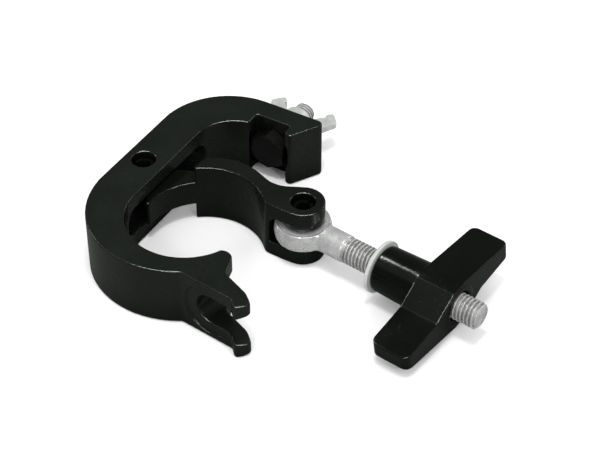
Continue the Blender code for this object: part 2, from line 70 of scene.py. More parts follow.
# pins
PIVOT = (-36.7, 21.6)
PIN_R, PIN_INNER_R, PIN_HALF = 5.0, 3.0, 11.0
PIN_SLOT = 1.6
PIN_BORE_R = 5.28

# jaw
JAW_C, JAW_R = (2.9, 7.15), 26.3
WEB_HALF, HUB_R = 6.0, 8.7
EYE = (37.3, 32.6)                          # axis of the swing bolt's pin
CLEVIS_R, CLEVIS_FLOOR_R, CLEVIS_GAP_HALF = 9.5, 14.6, 6.9
BOSS_R, BOSS_FACES = 9.4, (4.6, 4.3)        # faces on the -Z and +Z sides

# swing bolt; the _AT values are distances along it from the eye
BOLT_ANGLE, BOLT_Z = -7.0, -0.5
BALL_R, BALL_FLAT = 12.5, 3.8
NECK_R, NECK_END = 6.1, 23.7
THREAD_R, BOLT_LEN = 5.9, 90.7
WASHER_AT, WASHER_T, WASHER_R = 40.4, 1.7, 11.8

# handle
HUB_AT, HUB_R0, HUB_R1 = 42.4, 10.2, 10.9   # hub radius at its start and at the wings
WING_AT, WING_HALF = (62.4, 80.1), 37.2
WING_CORNER, WING_TILT = 3.2, 9.8
WING_TIP = (-4.8, 2.8)                      # thickness range at the tip
HANDLE_BORE_R = 6.5
INSERT_R, INSERT_LEN = 8.0, 18.0
INSERT_ROOM = 0.8                           # bore past the insert's length

# mounting screw and what rides on it; ranges are along Y
MOUNT_X, MOUNT_R, MOUNT_END, MOUNT_HOLE_R = -2.5, 4.9, 103.1, 5.4
HEAD_FLATS, HEAD_H = 16.0, 6.4
HEAD_TOP = RECESS_Y - 0.3
MOUNT_WASHER_BORE = 5.3
FLAT_WASHER_Y, FLAT_WASHER_R = (84.6, 86.6), 10.0
SPRING_Y, SPRING_R = (86.9, 89.1), 9.05
WING_NUT_Y, WING_NUT_H = 89.4, 7.4

pin_low, pin_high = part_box("arm_pivot_pin")
SHIFT = (pin_low + pin_high) / 2 - Vector((*PIVOT, 0)) * MM


# ------------------------------------------------------------------- outlines
def polar(centre, radius, degrees):
    angle = math.radians(degrees)
    return (centre[0] + radius * math.cos(angle), centre[1] + radius * math.sin(angle))


def arc(centre, radius, start, end, step=2.0):
    """Points from start to end, in degrees, no more than a step apart."""
    n = max(2, int(math.ceil(abs(end - start) / step)))
    return [polar(centre, radius, start + (end - start) * i / n) for i in range(n + 1)]


def rounded(corners, step=8.0, closed=False):
    """An outline of (x, y, corner radius) entries with its corners rounded."""
    out = []
    last = len(corners) - 1
    for i, (x, y, radius) in enumerate(corners):
        if radius <= 0 or (not closed and i in (0, last)):
            out.append((x, y))
            continue
        corner = Vector((x, y))
        before = (Vector(corners[i - 1][:2]) - corner).normalized()
        after = (Vector(corners[(i + 1) % len(corners)][:2]) - corner).normalized()
        half = before.angle(after) / 2
        reach = radius / math.tan(half)
        centre = corner + (before + after).normalized() * (radius / math.sin(half))
        first = corner + before * reach - centre
        final = corner + after * reach - centre
        start = math.degrees(math.atan2(first.y, first.x))
        turn = (math.degrees(math.atan2(final.y, final.x)) - start + 180.0) % 360.0 - 180.0
        out += arc(centre, radius, start, start + turn, step)
    return out


def tidy(points, least=0.06):
    """Drop points that all but touch the one before."""
    out = []
    for p in points:
        if not out or math.dist(p, out[-1]) > least:
            out.append(p)
    if math.dist(out[0], out[-1]) <= least:
        out.pop()
    return out


def rim(radius, low, high, cut, shoulder):
    """(radius, height) points of an outer wall with softened corners, top to bottom."""
    inward, down = shoulder
    return [(radius - cut, high), (radius - inward, high - down), (radius, high - cut),
            (radius, low + cut), (radius - inward, low + down), (radius - cut, low)]


# --------------------------------------------------------------------- frames
def at(x, y, z, rotation=None):
    move = Matrix.Translation(Vector((x, y, z)) * MM)
    return move @ rotation if rotation is not None else move


def axis_frame(origin, direction):
    """Local Z along the direction, local Y as near world Z as it goes."""
    world_up = Vector((0, 0, 1))
    z = Vector(direction).normalized()
    y = world_up - z * world_up.dot(z)
    y.normalize()
    x = y.cross(z)
    return at(*origin, Matrix((x, y, z)).transposed().to_4x4())


ALONG_Y = Matrix.Rotation(math.radians(-90), 4, "X")
MOUNT_FRAME = at(MOUNT_X, 0, 0, ALONG_Y)
bolt_turn = math.radians(BOLT_ANGLE)
BOLT_FRAME = axis_frame((*EYE, BOLT_Z), (math.cos(bolt_turn), math.sin(bolt_turn), 0))


# --------------------------------------------------------------------- solids
def settle():
    bpy.context.view_layer.update()


def evaluated_mesh(ob):
    settle()
    depsgraph = bpy.context.evaluated_depsgraph_get()
    return bpy.data.meshes.new_from_object(ob.evaluated_get(depsgraph))


def new_object(name, data, matrix=None):
    ob = bpy.data.objects.new(name, data)
    bpy.context.scene.collection.objects.link(ob)
    if matrix is not None:
        ob.matrix_world = matrix
    return ob


def plate(name, points, half, matrix=None):
    """An outline in local XY, extruded by half to either side."""
    points = tidy(points)
    curve = bpy.data.curves.new(name, "CURVE")
    curve.dimensions = "2D"
    curve.fill_mode = "BOTH"
    curve.extrude = half * MM
    curve.render_resolution_u = 0
    spline = curve.splines.new("POLY")
    spline.points.add(len(points) - 1)
    for point, (x, y) in zip(spline.points, points):
        point.co = (x * MM, y * MM, 0.0, 1.0)
    spline.use_cyclic_u = True
    outline = new_object(name + "_o", curve)
    mesh = evaluated_mesh(outline)
    bpy.data.objects.remove(outline, do_unlink=True)
    bm = bmesh.new()
    bm.from_mesh(mesh)
    bmesh.ops.remove_doubles(bm, verts=bm.verts, dist=0.000001)
    bmesh.ops.recalc_face_normals(bm, faces=bm.faces)
    bm.normal_update()
    flat = [e for e in bm.edges if len(e.link_faces) == 2
            and all(abs(f.normal.z) > 0.999 for f in e.link_faces)]
    bmesh.ops.dissolve_edges(bm, edges=flat, use_verts=False)
    bm.to_mesh(mesh)
    bm.free()
    return new_object(name, mesh, matrix)


def turned(name, profile, matrix, steps=96, closed=False):
    """A (radius, height) profile spun about local Z."""
    mesh = bpy.data.meshes.new(name)
    bm = bmesh.new()
    verts = [bm.verts.new((r * MM, 0.0, z * MM)) for r, z in profile]
    for a, b in zip(verts, verts[1:]):
        bm.edges.new((a, b))
    if closed:
        bm.edges.new((verts[-1], verts[0]))
    bm.to_mesh(mesh)
    bm.free()
    ob = new_object(name, mesh, matrix)
    screw = ob.modifiers.new("turn", "SCREW")
    screw.axis = "Z"
    screw.steps = screw.render_steps = steps
    screw.use_merge_vertices = True
    screw.merge_threshold = 0.000002
    return ob


def box(name, dims, matrix):
    mesh = bpy.data.meshes.new(name)
    bm = bmesh.new()
    bmesh.ops.create_cube(bm, size=1.0)
    bmesh.ops.scale(bm, vec=Vector(dims) * MM, verts=bm.verts)
    bm.to_mesh(mesh)
    bm.free()
    return new_object(name, mesh, matrix)


def chamfered_hole(name, radius, faces, cut, matrix):
    """Cutter for a through hole with broken rims at the two face heights."""
    low, high = faces
    far = 6.0
    profile = [(0.0, high + far), (radius + cut + far, high + far), (radius + cut, high),
               (radius, high - cut), (radius, low + cut), (radius + cut, low),
               (radius + cut + far, low - far), (0.0, low - far)]
    return turned(name, profile, matrix, steps=72)


def thread(name, radius, pitch, low, high, matrix, fade_from, tip_cut, groove=0.0):
    """A rod with a rolled thread that deepens over 2 mm, starting fade_from above low."""
    columns, rows_per_turn = 72, 14
    rows = int((high - low) / pitch * rows_per_turn) + 1
    heights = np.linspace(low, high, rows)
    angles = np.linspace(0, 2 * np.pi, columns, endpoint=False)
    z, angle = np.meshgrid(heights, angles, indexing="ij")
    from_crest = np.abs(np.mod(z / pitch - angle / (2 * np.pi), 1.0) - 0.5)
    crest = np.clip((0.375 - from_crest) / (0.375 - 0.075), 0.0, 1.0)
    crest = crest * crest * (3 - 2 * crest)
    depth = 0.60 * pitch * np.clip((z - low - fade_from) / 2.0, 0.0, 1.0)
    r = radius - depth * (1 - crest)
    if groove:
        floor_r = radius - 0.85 + 0.5 * np.clip(z - low - groove + 0.5, 0.0, 0.5)
        r = np.where(z < low + groove, np.minimum(r, floor_r), r)
    r = np.minimum(r, radius - np.clip(z - (high - tip_cut), 0, None) * 0.95)
    places = np.stack([r * np.cos(angle), r * np.sin(angle), z], -1).reshape(-1, 3) * MM
    verts = places.tolist() + [[0, 0, low * MM], [0, 0, high * MM]]
    faces = []
    for i in range(0, (rows - 1) * columns, columns):
        for j in range(columns):
            k = (j + 1) % columns
            faces.append((i + j, i + k, i + columns + k, i + columns + j))
    centre, top = rows * columns, (rows - 1) * columns
    for j in range(columns):
        k = (j + 1) % columns
        faces.append((centre, k, j))
        faces.append((centre + 1, top + j, top + k))
    mesh = bpy.data.meshes.new(name)
    mesh.from_pydata(verts, [], faces)
    return new_object(name, mesh, matrix)


def boolean(ob, tool, operation="DIFFERENCE"):
    modifier = ob.modifiers.new(tool.name, "BOOLEAN")
    modifier.operation = operation
    modifier.solver = "EXACT"
    modifier.object = tool


def bake(ob, angle=32.0, weighted=True):
    """Apply the modifiers, move the mesh onto the loaded pieces and shade it."""
    mesh = evaluated_mesh(ob)
    mesh.transform(Matrix.Translation(SHIFT) @ ob.matrix_world)
    tools = [m.object for m in ob.modifiers if m.type == "BOOLEAN"]
    ob.modifiers.clear()
    for tool in tools:
        bpy.data.objects.remove(tool, do_unlink=True)
    ob.data = mesh
    ob.matrix_world = Matrix.Identity(4)
    mesh.shade_smooth()
    mesh.set_sharp_from_angle(angle=math.radians(angle))
    if weighted:
        normals = ob.modifiers.new("normals", "WEIGHTED_NORMAL")
        normals.keep_sharp = True
        normals.weight = 80
        normals.mode = "FACE_AREA"
    return ob


def cast(ob, voxel, passes, keep):
    """The soft skin of a casting: every edge, inside and out, is a small radius."""
    skin = ob.modifiers.new("skin", "REMESH")
    skin.mode = "VOXEL"
    skin.voxel_size = voxel * MM
    skin.adaptivity = 0.0
    skin.use_smooth_shade = True
    soft = ob.modifiers.new("soft", "SMOOTH")
    soft.factor = 0.5
    soft.iterations = passes
    thin = ob.modifiers.new("thin", "DECIMATE")
    thin.decimate_type = "COLLAPSE"
    thin.ratio = keep
    return bake(ob, angle=180, weighted=False)


# --------------------------------------------------------------- shader nodes
def rgba(colour):
    """A colour tuple or a plain grey level, with alpha."""
    return (*colour, 1.0) if isinstance(colour, tuple) else (colour, colour, colour, 1.0)


def feed(tree, socket, value):
    """Link the socket to another one, or set its value."""
    if isinstance(value, bpy.types.NodeSocket):
        tree.links.new(value, socket)
    else:
        socket.default_value = rgba(value) if socket.type == "RGBA" else value


def new_material(name):
    material = bpy.data.materials.new(name)
    material.use_nodes = True
    tree = material.node_tree
    return material, tree, tree.nodes["Principled BSDF"]


def geometry(tree):
    return tree.nodes.new("ShaderNodeNewGeometry").outputs


def noise(tree, position, seed, scale, detail, rough):
    node = tree.nodes.new("ShaderNodeTexNoise")
    node.noise_dimensions = "4D"
    node.inputs["W"].default_value = seed
    node.inputs["Scale"].default_value = scale
    node.inputs["Detail"].default_value = detail
    node.inputs["Roughness"].default_value = rough
    tree.links.new(position, node.inputs["Vector"])
    return node.outputs["Fac"]


def ramp(tree, source, *stops):
    """Two (position, colour) stops."""
    node = tree.nodes.new("ShaderNodeValToRGB")
    for element, (position, colour) in zip(node.color_ramp.elements, stops):
        element.position = position
        element.color = rgba(colour)
    tree.links.new(source, node.inputs["Fac"])
    return node.outputs["Color"]


def mixed(tree, factor, first, second):
    node = tree.nodes.new("ShaderNodeMix")
    node.data_type = "RGBA"
    tree.links.new(factor, node.inputs["Factor"])
    feed(tree, node.inputs["A"], first)
    feed(tree, node.inputs["B"], second)
    return node.outputs["Result"]


def combined(tree, operation, first, second):
    node = tree.nodes.new("ShaderNodeMath")
    node.operation = operation
    feed(tree, node.inputs[0], first)
    feed(tree, node.inputs[1], second)
    return node.outputs[0]


def bevel_normal(tree, radius, samples):
    node = tree.nodes.new("ShaderNodeBevel")
    node.samples = samples
    node.inputs["Radius"].default_value = radius
    return node.outputs["Normal"]


def occlusion(tree, distance, only_local=False):
    node = tree.nodes.new("ShaderNodeAmbientOcclusion")
    node.samples = 6
    node.only_local = only_local
    node.inputs["Distance"].default_value = distance
    return node.outputs["AO"]


WEAR_AND_HIGHLIGHT = 0.4              # strength of the wear and painted highlight on coated edges


def broken_up(tree, mask, patches):
    return combined(tree, "MULTIPLY", combined(tree, "MULTIPLY", mask, patches), WEAR_AND_HIGHLIGHT)


def edge_wear_and_highlight(tree, seed):
    """Wear and painted highlight: bright where the surface turns sharply."""
    surface = geometry(tree)
    dot = tree.nodes.new("ShaderNodeVectorMath")
    dot.operation = "DOT_PRODUCT"
    tree.links.new(bevel_normal(tree, radius=0.0006, samples=4), dot.inputs[0])
    tree.links.new(surface["Normal"], dot.inputs[1])
    mask = ramp(tree, dot.outputs["Value"], (0.80, 1.0), (0.985, 0.0))
    grain = noise(tree, surface["Position"], seed, scale=900.0, detail=3.0, rough=0.6)
    return broken_up(tree, mask, ramp(tree, grain, (0.40, 0.0), (0.62, 1.0)))


def ridge_wear_and_highlight(tree, seed):
    """Wear and painted highlight: bright where the mesh is convex."""
    surface = geometry(tree)
    mask = ramp(tree, surface["Pointiness"], (0.57, 0.0), (0.68, 1.0))
    grain = noise(tree, surface["Position"], seed, scale=700.0, detail=3.0, rough=0.6)
    return broken_up(tree, mask, ramp(tree, grain, (0.35, 0.15), (0.65, 1.0)))


def finish_normals(tree, shader, height, strength, distance, radius):
    """Fine bumps over normals softened at the edges."""
    bump = tree.nodes.new("ShaderNodeBump")
    bump.inputs["Strength"].default_value = strength
    bump.inputs["Distance"].default_value = distance
    tree.links.new(height, bump.inputs["Height"])
    tree.links.new(bevel_normal(tree, radius, samples=6), bump.inputs["Normal"])
    tree.links.new(bump.outputs["Normal"], shader.inputs["Normal"])


# ----------------------------------------------------------------- materials
def coating(name, dark, light, rough, seed, specular, peel):
    """Black coating over a casting: soft mottling, faint orange peel, worn edges with painted
    highlights, painted shade in folds.
    """
    material, tree, shader = new_material(name)
    position = geometry(tree)["Position"]
    broad = noise(tree, position, seed, scale=45.0, detail=4.0, rough=0.55)
    fine = noise(tree, position, seed + 3, scale=420.0, detail=2.0, rough=0.5)
    specks = noise(tree, position, seed + 7, scale=620.0, detail=2.0, rough=0.5)
    colour = ramp(tree, broad, (0.35, dark), (0.68, light))
    # painted highlight, partly wear: a lighter colour along sharp edges and convex ridges
    colour = mixed(tree, edge_wear_and_highlight(tree, seed + 11), colour, (0.06, 0.065, 0.06))
    colour = mixed(tree, ridge_wear_and_highlight(tree, seed + 13), colour, (0.05, 0.055, 0.05))
    mottle = ramp(tree, broad, (0.3, rough - 0.04), (0.7, rough + 0.06))
    dull_specks = ramp(tree, specks, (0.30, 0.12), (0.40, 0.0))
    feed(tree, shader.inputs["Roughness"], combined(tree, "ADD", mottle, dull_specks))
    # painted shade: folds, found by ambient occlusion, are painted darker and shine less
    openness = occlusion(tree, distance=0.016)
    shine = ramp(tree, openness, (0.30, specular * 0.22), (0.85, specular))
    feed(tree, shader.inputs["Specular IOR Level"], shine)
    fold_shade = ramp(tree, openness, (0.25, 0.75), (0.85, 0.0))
    colour = mixed(tree, fold_shade, colour, (0.0008, 0.0009, 0.0008))
    feed(tree, shader.inputs["Base Color"], colour)
    finish_normals(tree, shader, fine, strength=peel, distance=0.00006, radius=0.00025)
    return material


def metal(name, dark, light, rough, seed, grime_and_shade=(0.12, 0.12, 0.11), dirt=0.2,
          metallic=0.25, fold_shade=0.0008, specular=0.5):
    """Plated steel: cloudy plate, fine scratches, grime in patches, and painted shade
    within the given distance of a crevice."""
    material, tree, shader = new_material(name)
    position = geometry(tree)["Position"]
    cloud = noise(tree, position, seed, scale=300.0, detail=5.0, rough=0.6)
    fine = noise(tree, position, seed + 2, scale=1800.0, detail=3.0, rough=0.6)
    patch = noise(tree, position, seed + 5, scale=160.0, detail=4.0, rough=0.6)
    colour = ramp(tree, cloud, (0.32, dark), (0.70, light))
    colour = mixed(tree, ramp(tree, patch, (0.56, 0.0), (0.74, dirt)), colour, grime_and_shade)
    # painted shade: the grime colour laid near crevices, found by ambient occlusion
    if fold_shade:
        openness = occlusion(tree, fold_shade, only_local=True)
        colour = mixed(tree, ramp(tree, openness, (0.40, 0.92), (0.95, 0.0)), colour, grime_and_shade)
    feed(tree, shader.inputs["Base Color"], colour)
    shader.inputs["Metallic"].default_value = metallic
    shader.inputs["Specular IOR Level"].default_value = specular
    cloudy = ramp(tree, cloud, (0.3, rough - 0.05), (0.7, rough + 0.10))
    feed(tree, shader.inputs["Roughness"], cloudy)
    finish_normals(tree, shader, fine, strength=0.05, distance=0.00004, radius=0.0002)
    return material


body_look = coating("look_body_coating", dark=(0.0042, 0.0056, 0.0043),
                    light=(0.0066, 0.0086, 0.0067), rough=0.20, seed=1.0,
                    specular=0.40, peel=0.05)
jaw_look = coating("look_jaw_coating", dark=(0.0024, 0.0032, 0.0024),
                   light=(0.0044, 0.0056, 0.0044), rough=0.18, seed=21.0,
                   specular=0.40, peel=0.05)
handle_look = coating("look_handle_coating", dark=(0.0012, 0.0016, 0.0010),
                      light=(0.0022, 0.0029, 0.0017), rough=0.15, seed=41.0,
                      specular=0.30, peel=0.03)
# black pin, painted darker still and given little shine so its holes read as painted shade
pin_black_and_shade_look = metal("look_black_pin_painted_shade", dark=0.0010, light=0.003, rough=0.65, seed=61.0,
                 metallic=0.0, dirt=0.1, grime_and_shade=0.002, specular=0.08)
# painted shade in the grooves of the swing bolt's thread
bolt_look = metal("look_bolt_zinc", dark=0.52, light=0.80, rough=0.27, seed=71.0,
                  metallic=0.60, dirt=0.3, fold_shade=0.0011)
# painted light: the same zinc as the thread, painted lighter so the ball's lit flats come out
# bright; no painted shade in its crevices
eye_lit_zinc_look = metal("look_eye_zinc_painted_light", dark=0.62, light=0.86, rough=0.25, seed=77.0,
                 metallic=0.60, dirt=0.35, fold_shade=0.0)
washer_look = metal("look_pale_washer", dark=(0.46, 0.47, 0.46), light=(0.56, 0.57, 0.56),
                    rough=0.42, seed=81.0, metallic=0.1, dirt=0.1, fold_shade=0.0)
# painted shade in the insert's crevices
insert_look = metal("look_insert_steel", dark=0.10, light=(0.20, 0.20, 0.19),
                    rough=0.38, seed=91.0, metallic=0.6)
nut_look = metal("look_nut_zinc", dark=(0.50, 0.51, 0.50), light=(0.66, 0.67, 0.66),
                 rough=0.36, seed=131.0, metallic=0.3, fold_shade=0.0)
# painted shade in the crevices of the mounting screw's thread and its washers
hardware_look = metal("look_hardware_zinc", dark=(0.54, 0.55, 0.54),
                      light=(0.70, 0.71, 0.70), rough=0.34, seed=101.0,
                      metallic=0.35, fold_shade=0.0011)
# painted shade: the screw's head is painted near black, unlike its zinc thread, to stand for the
# shade in its recess
head_painted_shade_look = metal("look_screw_head_painted_shade", dark=0.004, light=(0.012, 0.012, 0.011),
                  rough=0.30, seed=111.0, dirt=0.3, grime_and_shade=0.002, metallic=0.5)

# pieces that the glint lights reach
coated = bpy.data.collections.new("coated_pieces")
grip = bpy.data.collections.new("grip_pieces")


def show(ob, look, rides, replaces, glints=None):
    if glints:
        glints.objects.link(ob)
    ob.data.materials.clear()
    ob.data.materials.append(look)
    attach(ob, rides)
    if replaces:
        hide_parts(replaces)


# ---------------------------------------------------------------------- body
def body_outline():
    points = rounded([(9.6, 67.7, 0), (HOOK_X, HOOK_Y, 2.4), (BACK_X, HOOK_Y, UPPER_R),
                      (BACK_X, LOWER_C[1], 0)], 2.0)[1:]
    (start_x, start_y), (end_x, end_y) = FORK_FACE
    turn = math.degrees(math.atan2(start_y - LOWER_C[1], start_x - LOWER_C[0]))
    points += arc(LOWER_C, LOWER_R, 180.0, 360.0 + turn)[1:]
    # the fork face, the lip at its +X end, and the way up to the seat
    seat_start = -24.6
    points += rounded([
        (*points[-1], 0), (end_x, end_y, 1.6), (end_x + 3.7, end_y - 4.1, 1.7),
        (end_x + 8.9, end_y + 1.5, 2.3), (end_x + 3.2, end_y + 6.4, 7.0),
        (33.3, -21.9, 1.2), (29.5, -9.2, 4.8), (*polar((0, 0), SEAT_R, seat_start), 0)])[1:]
    points += arc((0, 0), SEAT_R, seat_start, -180.0)[1:]
    inner_end = math.degrees(math.acos((RECESS_X[0] - INNER_C[0]) / INNER_R))
    points += arc(INNER_C, INNER_R, 180.0, inner_end)
    points += rounded([
        (*points[-1], 0), (RECESS_X[0], RECESS_Y, 0.8), (RECESS_X[1], RECESS_Y, 0.8),
        (RECESS_X[1], 68.6, 2.0), (9.6, 67.7, 1.3), (HOOK_X, HOOK_Y, 0)])[1:-1]
    return points


def cut_arm_slot(body):
    """The slot through the -X wall that takes the jaw's web."""
    low, high = ARM_SLOT_Y
    points = arc((0, high), ARM_SLOT_HALF, 0, 180, 5) + arc((0, low), ARM_SLOT_HALF, 180, 360, 5)
    frame = at(-38, 0, 0) @ Matrix(((0, 0, 1, 0), (0, 1, 0, 0), (-1, 0, 0, 0), (0, 0, 0, 1)))
    boolean(body, plate("arm_slot", points, 17.0, frame))


def shape_fork(body):
    """Cut the open slot and round recess, and return the end trimmer's frame."""
    start, end = Vector(FORK_FACE[0]), Vector(FORK_FACE[1])
    along = (end - start).normalized()
    outward = Vector((along.y, -along.x))
    slot_at = start + along * FORK_SLOT_AT
    mid = slot_at - outward * FORK_INSET
    frame = at(mid.x, mid.y, 0) @ Matrix(((along.x, 0, outward.x, 0), (along.y, 0, outward.y, 0),
                                          (0, 1, 0, 0), (0, 0, 0, 1)))
    # distance along the face, widening of the slot's side
    flare = [(16.5, 0), (19.2, 0.7), (21.0, 2.4), (40, 2.4)]
    points = arc((0, 0), FORK_SLOT_R, 90, 270, 5)
    points += [(x, -(FORK_SLOT_R + wider)) for x, wider in flare]
    points += [(x, FORK_SLOT_R + wider) for x, wider in reversed(flare)]
    boolean(body, plate("fork_slot", points, 17.0, frame))
    half = 5.0
    spot = slot_at + outward * (half - SPOT_DEPTH)
    profile = [(0, half), (SPOT_R, half), (SPOT_R, 0.3 - half), (SPOT_R - 0.3, -half), (0, -half)]
    spot_frame = axis_frame((spot.x, spot.y, 0), (outward.x, outward.y, 0))
    boolean(body, turned("fork_spot", profile, spot_frame, steps=120))
    return frame


def make_body():
    body = plate("body_casting", body_outline(), WIDTH / 2)
    boolean(body, chamfered_hole("body_pin_hole", PIN_BORE_R, (-WIDTH / 2, WIDTH / 2), 0.35,
                                 at(*PIVOT, 0)))
    cut_arm_slot(body)
    fork_frame = shape_fork(body)
    boolean(body, chamfered_hole("mount_hole", MOUNT_HOLE_R, (RECESS_Y, HOOK_Y), 0.3, MOUNT_FRAME))
    # round the fork's +X end as seen square to its face
    side = WIDTH / 2 + 0.02
    trim = rounded([(-150, -side, 0), (20.9, -side, 3.4), (20.9, side, 3.4), (-150, side, 0)], 10)
    boolean(body, plate("fork_trim", trim, 150.0, fork_frame), "INTERSECT")
    show(cast(body, voxel=0.36, passes=12, keep=0.35), body_look, "clamp_frame", "clamp_body",
         glints=coated)


# ----------------------------------------------------------------------- jaw
def jaw_outline():
    points = arc(JAW_C, JAW_R, 127.0, 44.0)
    first = points[0]
    x, y = points[-1]
    points += rounded([(x, y, 0), (x + 2.2, y - 1.9, 3.0),
                       (EYE[0] - 6.0, EYE[1] - CLEVIS_R, 0)])[1:]
    points += arc(EYE, CLEVIS_R, -90, 118, 3)
    bend = arc((1.66, 15.5), 25.9, 67.0, 118.0)
    points += rounded([(*points[-1], 0), (21.4, 35.4, 13.0), (*bend[0], 0)], 4)[1:]
    points += bend[1:]
    points += rounded([(*bend[-1], 0), (-14.4, 35.2, 2.0), (-14.9, 26.4, 0.9), (*first, 0)])[1:-1]
    return list(reversed(points))


def web_outline():
    """The thin web from the jaw to the hub round the pivot."""
    points = arc(JAW_C, JAW_R + 0.01, 183.4, 100.0)
    first = points[0]
    points += [(-3.0, 38.0), (-12.6, 34.6)]
    points += rounded([(-12.6, 34.6, 0), (-19.0, 33.8, 6.0), (-27.0, 30.5, 8.0),
                       (PIVOT[0], PIVOT[1] + HUB_R, 0)])[1:]
    points += arc(PIVOT, HUB_R, 90, 300, 4)
    points += rounded([(*points[-1], 0), (-26.6, 9.6, 2.0), (-24.7, 4.6, 0.8), (*first, 0)])[1:-1]
    return list(reversed(points))


def make_jaw():
    jaw = plate("jaw_casting", jaw_outline(), WIDTH / 2)
    boolean(jaw, plate("jaw_web", web_outline(), WEB_HALF), "UNION")
    boolean(jaw, chamfered_hole("jaw_pin_hole", PIN_BORE_R, (-WEB_HALF, WEB_HALF), 0.3,
                                at(*PIVOT, 0)))
    gap = arc((0, 0), CLEVIS_FLOOR_R, 90, 270, 3) + [(30, -CLEVIS_FLOOR_R), (30, CLEVIS_FLOOR_R)]
    boolean(jaw, plate("clevis_gap", gap, CLEVIS_GAP_HALF, at(*EYE, 0)))
    for side, face in zip((-1, 1), BOSS_FACES):
        low, high = sorted((side * face, side * (CLEVIS_GAP_HALF + 2.0)))
        profile = [(0, high), (BOSS_R, high), (BOSS_R, low), (0, low)]
        boolean(jaw, turned("clevis_boss", profile, at(*EYE, 0)), "UNION")
    boolean(jaw, chamfered_hole("clevis_hole", PIN_BORE_R, (-WIDTH / 2, WIDTH / 2), 0.45,
                                at(*EYE, 0)))
    show(cast(jaw, voxel=0.33, passes=10, keep=0.4), jaw_look, "jaw", "jaw_arm",
         glints=coated)


# ---------------------------------------------------------------------- pins
def make_roll_pin(name, place, slot_turn, rides, replaces):
    """A hollow pin, split along one side."""
    lip = 0.2
    profile = [(PIN_INNER_R, PIN_HALF - lip), (PIN_INNER_R + lip, PIN_HALF)]
    profile += rim(PIN_R, -PIN_HALF, PIN_HALF, 0.6, (0.15, 0.3))
    profile += [(PIN_INNER_R + lip, -PIN_HALF), (PIN_INNER_R, -PIN_HALF + lip)]
    pin = turned(name, profile, at(*place, 0), steps=72, closed=True)
    turn = Matrix.Rotation(math.radians(slot_turn), 4, "Z")
    boolean(pin, box("pin_slot", (PIN_R * 2, PIN_SLOT, PIN_HALF * 3),
                     at(*place, 0, turn) @ at(PIN_R, 0, 0)))
    show(bake(pin), pin_black_and_shade_look, rides, replaces)


# ---------------------------------------------------------------- swing bolt
def eye_profile():
    """The neck, a fillet and the ball, from the neck's end down to the ball's pole."""
    points = [(0.0, NECK_END + 0.6), (4.6, NECK_END + 0.6), (4.9, NECK_END),
              (NECK_R - 0.3, NECK_END), (NECK_R, NECK_END - 0.4)]
    fillet = 3.0
    fillet_y = math.sqrt((BALL_R + fillet) ** 2 - (NECK_R + fillet) ** 2)
    meet = math.degrees(math.atan2(fillet_y, NECK_R + fillet))
    points += arc((NECK_R + fillet, fillet_y), fillet, 180.0, 180.0 + meet, 5)
    points += [polar((0, 0), BALL_R, meet - (meet + 90.0) * i / 48) for i in range(1, 48)]
    points.append((0.0, -BALL_R))
    return points


def make_swing_bolt():
    eye = turned("swing_bolt_eye", eye_profile(), BOLT_FRAME, steps=128)
    # flatten both sides of the ball with round-edged cutters
    cup = [(0.0, 0.0)] + [polar((10.7, 1.5), 1.5, a - 90) for a in (0, 22, 45, 68, 90)]
    cup += [(12.2, 14.0), (0.0, 14.0)]
    for side in (1, -1):
        profile = [(r, side * z) for r, z in cup][::-side]
        boolean(eye, turned("ball_flat", profile, at(*EYE, BOLT_Z + side * BALL_FLAT)))
    boolean(eye, chamfered_hole("eye_hole", PIN_BORE_R, (-BALL_FLAT, BALL_FLAT), 0.6,
                                at(*EYE, BOLT_Z)))
    show(cast(eye, voxel=0.24, passes=7, keep=0.5), eye_lit_zinc_look, "swing_bolt", "eye_bolt")
    shank = thread("swing_bolt_thread", THREAD_R, 1.75, NECK_END, BOLT_LEN, BOLT_FRAME,
                   fade_from=-1.2, tip_cut=1.1, groove=1.1)
    show(bake(shank, 60, False), bolt_look, "swing_bolt", None)


def make_thrust_washer():
    top = WASHER_AT + WASHER_T
    profile = [(6.5, top)] + rim(WASHER_R, WASHER_AT, top, 0.35, (0.1, 0.1))
    profile += [(6.7, WASHER_AT), (6.5, WASHER_AT + 0.2)]
    washer = turned("thrust_washer_ring", profile, BOLT_FRAME, steps=120, closed=True)
    show(bake(washer), washer_look, "nut_carriage", "thrust_washer")


# -------------------------------------------------------------------- handle
def wing_outline():
    """Both wings seen along the bolt: half is one wing, turned half round for the other."""
    far = WING_HALF + 4.0
    slope = (WING_TIP[1] - 10.0) / (WING_HALF - 7.0)
    half = [(3.2, 10.9, 1.2), (7.0, 10.0, 3.0), (far, 10.0 + slope * (far - 7.0), 0.0),
            (far, WING_TIP[0], 0.0), (21.0, -4.8, 8.0), (15.6, -5.0, 3.0),
            (12.8, -6.4, 0.5), (3.2, -10.6, 0.7)]
    full = [(-x, -y, r) for x, y, r in half] + half
    return list(reversed(rounded(full, 9, closed=True)))


